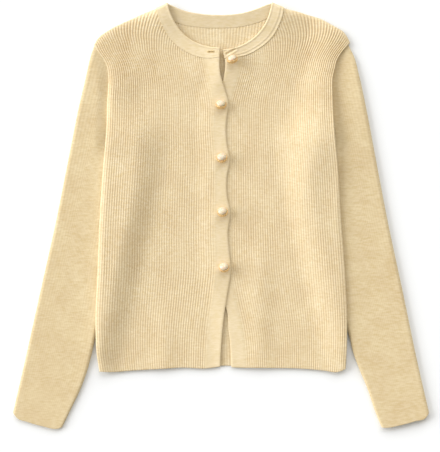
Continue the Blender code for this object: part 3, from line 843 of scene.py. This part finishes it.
def make_sleeve(side, material):
    """A closed tube pressed flat. u goes round it, and v from the armhole to the cuff."""
    plan = sleeve_plan(side)
    bend = SLEEVE_ROLL * 1.3  # length of the cloth round one rolled edge
    round_it = np.linspace(0, 1, SLEEVE_RIBS * COLUMNS_PER_RIB + 1)
    u, up = np.meshgrid(round_it, rim(90, SLEEVE_LENGTH))
    v = 1 - up
    under = u > 0.5
    width = SLEEVE_WIDTH - (SLEEVE_WIDTH - CUFF_WIDTH) * v
    wall = width + 2 * (bend - SLEEVE_ROLL)  # the cloth from one edge to the other
    around = np.where(under, 2 - 2 * u, 2 * u) * wall
    near = np.minimum(around, wall - around)
    in_bend = SLEEVE_ROLL * (1 - np.cos(np.minimum(near / bend, 1) * math.pi / 2))
    inward = np.where(near < bend, in_bend, near - bend + SLEEVE_ROLL)
    faces = []
    for inset in (CLOTH, 0.0):
        cuff_round = 1 - edge_round(up * SLEEVE_LENGTH)
        inset = inset + 0.35 * CLOTH * (0.5 - inset / CLOTH) * 2 * cuff_round
        from_edge = inset + inward * (1 - 2 * inset / width)
        w = np.where(around < width / 2 + bend - SLEEVE_ROLL, from_edge, width - from_edge) / width
        x, y = plan(w if side == "right" else 1 - w, v)
        height = sleeve_height(side, x, y)
        bulge = (height / 2 - inset) * roll((from_edge - inset) / (SLEEVE_ROLL - inset / 2))
        faces.append(np.stack([x, y, height / 2 + np.where(under, -bulge, bulge)], axis=-1))
    phase = u * SLEEVE_RIBS
    relief = np.full_like(u, SLEEVE_RELIEF)
    points = press_ribs(np.array(faces), phase, relief, tube=True)
    coords = np.stack([phase, up * SLEEVE_LENGTH], axis=-1)
    piece = cloth("knit_sleeve_" + side, points, coords, relief, material, tube=True)
    place_piece(piece, "rib_knit", "sleeve_" + side)


def neckband_centre(share, w):
    """Middle surface of the neckband: right front, round the shoulder, back, left front."""
    part = np.clip((share * 3).astype(int), 0, 2)
    local = share * 3 - part
    points = []
    for neck in (NECK_RIGHT, NECK_BACK, NECK_LEFT):
        along = 1 - local if neck is NECK_LEFT else local
        seam_x, seam_y = strip_line(neck, "seam", along)
        free_x, free_y = strip_line(neck, "free", along)
        x, y = seam_x + (free_x - seam_x) * w, seam_y + (free_y - seam_y) * w
        back = BAND_CLOTH / 2 + NECK_STAND * w
        front = CLOTH + LAYER + front_air(x, y) + BAND_CLOTH / 2
        middle = (back + front) / 2
        if neck is NECK_BACK:
            level, near = back, NECK_BACK_LENGTH * np.minimum(along, 1 - along)
        else:
            side = "left" if neck is NECK_LEFT else "right"
            level, near = front + lap(side, x, y), NECK_FRONT_LENGTH * (1 - along)
        points.append(np.stack([x, y, middle + (level - middle) * roll(near / NECK_FOLD)], axis=-1))
    return np.choose(part[..., None], points)


def neckband_relief(share, w, x, y):
    """How far the neckband's upper face stands out.

    Its free edge is rolled and its seam has two ridges, plainest on the left
    front. The crease is where the undone end folds beside the top button.
    """
    across = w * NECK_WIDTH
    part = share * 3
    strong = 0.3 + 0.7 * soft_step((part - 1.9) / 0.2)
    rolled = 0.6 * hump(across - 16.9, 1.4)
    ridges = 0.26 * hump(across - 0.9, 1.1) + 0.22 * hump(across - 5.6, 1.5)
    groove = -0.22 * hump(across - 3.4, 1.4)
    back = (part > 1) & (part < 2)
    back_seam = -1.5 * hump(across - 1.2, 1.9)
    (ax, ay), (bx, by) = NECK_CREASE
    run, climb = bx - ax, by - ay
    along = np.clip(((x - ax) * run + (y - ay) * climb) / (run**2 + climb**2), 0, 1)
    off = np.hypot(x - ax - along * run, y - ay - along * climb)
    crease = -1.1 * hump(off, 1.2) + 0.6 * hump(off - 3.0, 1.4)
    seam = np.where(back, back_seam, strong * (ridges + groove))
    return rolled + seam + np.where(part > 2, crease, 0)


def make_neckband(material):
    """The neckband, with close rows where it rounds over the shoulders and at its two ends."""
    third = np.linspace(0, 1, 96)
    bend = NECK_FOLD * (1 - np.cos(np.linspace(0, math.pi / 2, 12)))
    front = np.concatenate([[0, 0.001, 0.003, 0.006], third[1:-3], 1 - bend / NECK_FRONT_LENGTH])
    back = np.concatenate([third[3:-3], bend / NECK_BACK_LENGTH, 1 - bend / NECK_BACK_LENGTH])
    v = np.unique(np.round(np.concatenate([front, 1 + back, 3 - front]) / 3, 7))
    w, v = np.meshgrid(rim(34, NECK_WIDTH), v)
    step = 1e-4
    centre = neckband_centre(v, w)
    along = neckband_centre(np.minimum(v + step, 1), w) - neckband_centre(np.maximum(v - step, 0), w)
    across = neckband_centre(v, np.minimum(w + step, 1)) - neckband_centre(v, np.maximum(w - step, 0))
    normal = np.cross(across, along)
    normal /= np.linalg.norm(normal, axis=-1, keepdims=True)
    free = edge_round((1 - w) * NECK_WIDTH) * edge_round(NECK_LENGTH * np.minimum(v, 1 - v))
    half = (BAND_CLOTH / 2 * free)[..., None]
    relief = neckband_relief(v, w, centre[..., 0], centre[..., 1])[..., None]
    points = np.array([centre - normal * half, centre + normal * (half + relief)])
    coords = np.stack([w * NECK_WIDTH, v * NECK_LENGTH], axis=-1)
    piece = cloth("knit_neckband", points, coords, 0 * w, material)
    cut_buttonhole(piece, *NECK_BUTTONHOLE)
    place_piece(piece, "plain_knit", "neckband")
    make_buttonhole_stitches(0, piece, *NECK_BUTTONHOLE)


# ---- buttons ----
def turned(name, profile, steps, material, scallops=0, depth=0.0):
    """A closed turned piece from (radius, height) pairs that start and end on the axis."""
    bm = bmesh.new()
    points = [bm.verts.new((r, 0, z)) for r, z in profile]
    edges = [bm.edges.new(pair) for pair in zip(points, points[1:])]
    bmesh.ops.spin(
        bm, geom=points + edges, axis=(0, 0, 1), cent=(0, 0, 0),
        angle=2 * math.pi, steps=steps, use_merge=True,
    )
    bmesh.ops.remove_doubles(bm, verts=bm.verts, dist=1e-4)
    bmesh.ops.recalc_face_normals(bm, faces=bm.faces)
    outer = max(r for r, _ in profile)
    for vert in bm.verts:
        reach = math.hypot(vert.co.x, vert.co.y)
        share = max(0.0, reach / outer - 0.8) / 0.2
        wave = math.cos(scallops * math.atan2(vert.co.y, vert.co.x))
        vert.co.xy *= 1 - depth * share * (0.5 - 0.5 * wave)
    mesh = new_mesh(name, bm)
    mesh.shade_smooth()
    along = mesh.attributes.new("axis_height", "FLOAT", "POINT")
    along.data.foreach_set("value", [vert.co.z for vert in mesh.vertices])
    mesh.materials.append(material)
    return new_object(name, mesh)


def make_button(number, x, y, base, shank, lean_back, lean_right, finishes):
    """A gilt cup with a scalloped rim, a pearl dome set in it and the thread under it."""
    r = BUTTON_DIAMETER / 2
    bowl = [
        (0, -0.4), (1.4, -0.4), (1.5, 0.2), (0.5 * r, 0.3), (0.72 * r, 0.7), (0.86 * r, 1.4),
        (0.94 * r, 2.3), (0.98 * r, 3.4), (r, 4.6), (0.995 * r, 5.4), (0.97 * r, 5.8),
        (0.93 * r, 5.9), (0.87 * r, 5.6), (0.85 * r, 5.1), (0.72 * r, 4.4), (0.4 * r, 3.9), (0, 3.8),
    ]
    cup = turned(f"gilt_cup_{number}", bowl, 72, finishes["gilt"], scallops=18, depth=0.07)
    angles = np.linspace(0, math.pi / 2, 16)
    dome = [(0.84 * r * math.sin(a), PEARL_FOOT + PEARL_RISE * math.cos(a)) for a in angles]
    dome = [(0, dome[0][1])] + dome[1:] + [(0.81 * r, 5.2), (0.5 * r, 4.6), (0, 4.2)]
    bead = turned(f"pearl_{number}", dome, 48, finishes["pearl"])
    turns = [(0, -shank)]
    for turn in range(6):
        middle = -shank + (turn + 0.5) * shank / 6
        for a in np.linspace(-1.2, 1.2, 5):
            turns.append((0.75 + 0.3 * math.cos(a), middle + shank / 12 * math.sin(a)))
    thread = turned(f"shank_thread_{number}", turns + [(0, 0.4)], 20, finishes["thread"])
    lean = Matrix.Rotation(math.radians(lean_right), 4, "Y")
    lean = lean @ Matrix.Rotation(-math.radians(lean_back), 4, "X")
    for piece, slot, nodes, turn in (
        (cup, "gilt", [f"button_cup_{number}"], lean),
        (bead, "pearl", [f"button_pearl_{number}"], lean),
        (thread, "plain_knit", [], Matrix()),
    ):
        piece.data.transform(Matrix.Scale(MM, 4) @ Matrix.Translation((x, y, base)) @ turn)
        place_piece(piece, slot, *nodes)


# ---- finishes ----
def srgb(code):
    """Linear red, green and blue of a hex colour."""
    parts = [int(code[i : i + 2], 16) / 255 for i in (1, 3, 5)]
    linear = [c / 12.92 if c <= 0.04045 else ((c + 0.055) / 1.055) ** 2.4 for c in parts]
    return (*linear, 1.0)


def new_finish(name):
    """A material and its shader."""
    material = bpy.data.materials.new(name)
    material.use_nodes = True
    return material, material.node_tree.nodes["Principled BSDF"]


def add(shader, kind, inputs=(), out=0, **settings):
    """Adds a node beside a shader and gives back one of its outputs.

    inputs are values, or sockets to link, by the names or places of its inputs.
    """
    tree = shader.id_data
    node = tree.nodes.new("ShaderNode" + kind)
    for key, value in settings.items():
        setattr(node, key, value)
    for socket, value in dict(inputs).items():
        if isinstance(value, bpy.types.NodeSocket):
            tree.links.new(value, node.inputs[socket])
        else:
            node.inputs[socket].default_value = value
    return node.outputs[out]


def knit_finish(name, pitch, light, deep, ribbed):
    """Cream merino-look yarn in a rib or plain knit.

    The stitches give rows of small Vs on each rib, the yarn's marl gives pale and
    dark flecks that run along the courses, and the nap gives a soft sheen. The
    flecks are drawn longer and wider than real ones, as coarse as they need to
    be to show. The grooves between the ribs are painted darker, as painted shade.
    """
    material, shader = new_finish(name)
    coords = add(shader, "UVMap", uv_map="knit")
    across, along = add(shader, "SeparateXYZ", {0: coords}).node.outputs[:2]
    ribs = add(shader, "Math", {0: across, 1: pitch}, operation="DIVIDE")
    fraction = add(shader, "Math", {0: ribs}, operation="FRACT")
    signed = add(shader, "Math", {0: fraction, 1: 2.0, 2: -1.0}, operation="MULTIPLY_ADD")
    off_crest = add(shader, "Math", {0: signed}, operation="ABSOLUTE")
    courses = add(shader, "Math", {0: along, 1: COURSE}, operation="DIVIDE")
    slant = add(shader, "Math", {0: off_crest, 1: 0.35}, operation="MULTIPLY")
    slanted = add(shader, "Math", {0: courses, 1: slant}, operation="SUBTRACT")
    angle = add(shader, "Math", {0: slanted, 1: 2 * math.pi}, operation="MULTIPLY")
    wave = add(shader, "Math", {0: angle}, operation="SINE")
    row = add(shader, "Math", {0: wave, 1: 0.5, 2: 0.5}, operation="MULTIPLY_ADD")
    crest = add(shader, "Math", {0: 1.0, 1: off_crest}, operation="SUBTRACT")
    legs = add(shader, "Math", {0: crest, 1: 0.6}, operation="POWER")
    stitch = add(shader, "Math", {0: row, 1: legs}, operation="MULTIPLY")

    place = add(shader, "TexCoord", out="Object")
    stretched = add(shader, "Mapping", {0: place, 3: (0.3, 1.0, 1.0)})
    marl = add(shader, "TexNoise", {"Vector": stretched, "Scale": 1 / (2.4 * MM), "Detail": 3.0})
    flecks = add(shader, "MapRange", {0: marl, 1: 0.3, 2: 0.7})
    cloudy = add(shader, "TexNoise", {"Vector": place, "Scale": 1 / (32 * MM), "Detail": 2.0})
    patchy = add(shader, "MapRange", {0: cloudy, 1: 0.3, 2: 0.7, 3: 0.0, 4: 0.16})
    # Painted shade: the colour darkens towards the deep tone in the grooves, by the rib depth times
    # the ribbed weight.
    depth = add(shader, "Attribute", out="Fac", attribute_name="rib_depth")
    narrow = add(shader, "Math", {0: off_crest, 1: 1.6}, operation="POWER")
    shade = add(shader, "Math", {0: depth, 1: ribbed}, operation="MULTIPLY")
    groove = add(shader, "Math", {0: narrow, 1: shade}, operation="MULTIPLY")
    pale, dark, deep = srgb(light[0]), srgb(light[1]), srgb(deep)
    tone = add(shader, "Mix", {"Factor": flecks, 6: dark, 7: pale}, out=2, data_type="RGBA")
    tone = add(shader, "Mix", {"Factor": patchy, 6: tone, 7: deep}, out=2, data_type="RGBA")
    tone = add(shader, "Mix", {"Factor": groove, 6: tone, 7: deep}, out=2, data_type="RGBA")

    fuzz = add(shader, "TexNoise", {"Vector": place, "Scale": 1 / (0.5 * MM), "Detail": 2.0})
    nap = add(shader, "Math", {0: fuzz, 1: 0.5}, operation="MULTIPLY")
    height = add(shader, "Math", {0: stitch, 1: nap}, operation="ADD")
    bump = add(shader, "Bump", {"Height": height, "Strength": 0.5, "Distance": STITCH_RELIEF * MM})
    shader.id_data.links.new(tone, shader.inputs["Base Color"])
    shader.id_data.links.new(bump, shader.inputs["Normal"])
    shader.inputs["Roughness"].default_value = 0.92
    shader.inputs["Specular IOR Level"].default_value = 0.15
    shader.inputs["Sheen Weight"].default_value = 0.25
    shader.inputs["Sheen Roughness"].default_value = 0.45
    shader.inputs["Sheen Tint"].default_value = srgb("#FFF3DC")
    return material


def make_finishes():
    """The knits, the sleeves' copy a little darker than the body's, and the trims."""
    rib = knit_finish("rib_knit_cream", 1.0, ("#EADDBF", "#DDCBA2"), "#AE8652", 0.5)
    close = knit_finish("closed_rib_cream", 1.0, ("#E1D2B0", "#D3C096"), "#A9824F", 0.4)
    plain = knit_finish("plain_knit_cream", BAND_WALE, ("#EADBBE", "#E0CFA7"), "#C0A470", 0.0)

    # Brass plate, worn soft, which gives warm, wide streaks of light.
    gilt, shader = new_finish("gilt_metal")
    shader.inputs["Base Color"].default_value = srgb("#EDD09C")
    shader.inputs["Metallic"].default_value = 1.0
    place = add(shader, "TexCoord", out="Object")
    worn = add(shader, "TexNoise", {"Vector": place, "Scale": 1 / (1.5 * MM), "Detail": 3.0})
    dull = add(shader, "MapRange", {0: worn, 3: 0.46, 4: 0.66})
    shader.id_data.links.new(dull, shader.inputs["Roughness"])

    # Lacquered bead, which gives a soft lustre under a clear gloss. Near its foot it
    # is painted golden, a painted reflection of the metal of its cup.
    pearl, shader = new_finish("imitation_pearl")
    place = add(shader, "TexCoord", out="Object")
    mottled = add(shader, "TexNoise", {"Vector": place, "Scale": 1 / (6 * MM), "Detail": 2.0})
    low, high = srgb("#CFC0A5"), srgb("#D9CAB1")
    tone = add(shader, "Mix", {"Factor": mottled, 6: low, 7: high}, out=2, data_type="RGBA")
    height = add(shader, "Attribute", out="Fac", attribute_name="axis_height")
    above_cup_reflection = add(shader, "MapRange", {0: height, 1: PEARL_FOOT, 2: PEARL_FOOT + 1.8})
    # Painted reflection: the pearl's foot is coloured like the gilt cup below it.
    foot = srgb("#C8A66C")
    tone = add(shader, "Mix", {"Factor": above_cup_reflection, 6: foot, 7: tone}, out=2, data_type="RGBA")
    shader.id_data.links.new(tone, shader.inputs["Base Color"])
    shader.inputs["Roughness"].default_value = 0.3
    shader.inputs["Subsurface Weight"].default_value = 0.3
    shader.inputs["Subsurface Scale"].default_value = 2 * MM
    shader.inputs["Coat Weight"].default_value = 0.25
    shader.inputs["Coat Roughness"].default_value = 0.2
    shader.inputs["Sheen Weight"].default_value = 0.3

    # Twisted polyester, which gives fine slanted ridges.
    thread, shader = new_finish("sewing_thread")
    place = add(shader, "TexCoord", out="Object")
    waves = {"Vector": place, "Scale": 1 / (1.2 * MM)}
    twist = add(shader, "TexWave", waves, out="Fac", bands_direction="DIAGONAL")
    low, high = srgb("#CBAE78"), srgb("#E4CE9E")
    tone = add(shader, "Mix", {"Factor": twist, 6: low, 7: high}, out=2, data_type="RGBA")
    shader.id_data.links.new(tone, shader.inputs["Base Color"])
    shader.inputs["Roughness"].default_value = 0.7
    return {"rib": rib, "close": close, "plain": plain, "gilt": gilt, "pearl": pearl, "thread": thread}


# ---- the view ----
def make_stage():
    """A white floor, a hair below the cardigan."""
    bm = bmesh.new()
    bmesh.ops.create_grid(bm, x_segments=1, y_segments=1, size=4.0)
    bmesh.ops.translate(bm, verts=bm.verts, vec=(0, 0, -0.1 * MM))
    mesh = new_mesh("floor", bm)
    floor = new_object("floor", mesh)
    paper, shader = new_finish("white_paper")  # matt paper, which gives an even pale ground
    shader.inputs["Base Color"].default_value = srgb("#F3F7FC")
    shader.inputs["Roughness"].default_value = 0.9
    shader.inputs["Specular IOR Level"].default_value = 0.1
    mesh.materials.append(paper)


def make_light_and_camera():
    """A warm room, two wide and soft windows, and a camera straight above."""
    scene = bpy.context.scene
    world = bpy.data.worlds.new("soft_room")
    world.use_nodes = True
    sky = world.node_tree.nodes["Background"]
    sky.inputs["Color"].default_value = (1.0, 0.928, 0.80, 1.0)
    sky.inputs["Strength"].default_value = 0.44
    scene.world = world
    for name, strength, spread, towards in (
        ("key_window", 3.6, 54, (0.92, -0.22, -0.33)),
        ("top_window", 2.2, 66, (-0.05, -0.87, -0.49)),
    ):
        lamp = bpy.data.lights.new(name, "SUN")
        lamp.energy = strength
        lamp.angle = math.radians(spread)
        lamp.color = (1.0, 0.992, 0.99)
        window = new_object(name, lamp)
        window.rotation_euler = Vector(towards).to_track_quat("-Z", "Y").to_euler()
    eye = bpy.data.cameras.new("camera")
    eye.sensor_width = SENSOR
    eye.lens = SENSOR * (CAMERA_HEIGHT - VIEW_LEVEL) / VIEW_HEIGHT
    eye.clip_end = 20.0
    scene.camera = new_object("camera", eye)
    scene.camera.location = (VIEW_CENTRE[0] * MM, VIEW_CENTRE[1] * MM, CAMERA_HEIGHT * MM)
    scene.view_settings.view_transform = "Standard"


def make_cardigan():
    """All pieces, from the ones that lie lowest to the buttons on top."""
    finishes = make_finishes()
    for side in ("right", "left"):
        make_sleeve(side, finishes["close"])
    make_back(finishes["rib"])
    for side in ("left", "right"):
        make_front(side, finishes["rib"])
        make_band(side, finishes["plain"])
    make_neckband(finishes["plain"])
    for number, row in enumerate(zip(*BUTTONS.values()), start=1):
        x, y, lean_back, lean_right = row
        spot = np.array([x]), np.array([y])
        if number == 1:  # the undone one, whose shank ends on the neckband
            base = CLOTH + LAYER + front_air(*spot)[0] + BAND_CLOTH + LOOSE_STAND
            shank = LOOSE_STAND - LAYER
        else:
            base = front_heights("right", *spot)[1][0] + BUTTON_STAND
            shank = BUTTON_STAND + CLOTH - 0.1
        make_button(number, x, y, base, shank, lean_back, lean_right, finishes)


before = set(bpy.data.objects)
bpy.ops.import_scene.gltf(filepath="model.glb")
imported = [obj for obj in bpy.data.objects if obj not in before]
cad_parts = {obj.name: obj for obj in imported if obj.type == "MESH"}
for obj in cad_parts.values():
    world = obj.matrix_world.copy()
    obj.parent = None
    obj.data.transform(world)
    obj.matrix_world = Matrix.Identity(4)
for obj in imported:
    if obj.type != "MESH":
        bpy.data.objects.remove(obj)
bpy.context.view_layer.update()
make_light_and_camera()
make_stage()
make_cardigan()
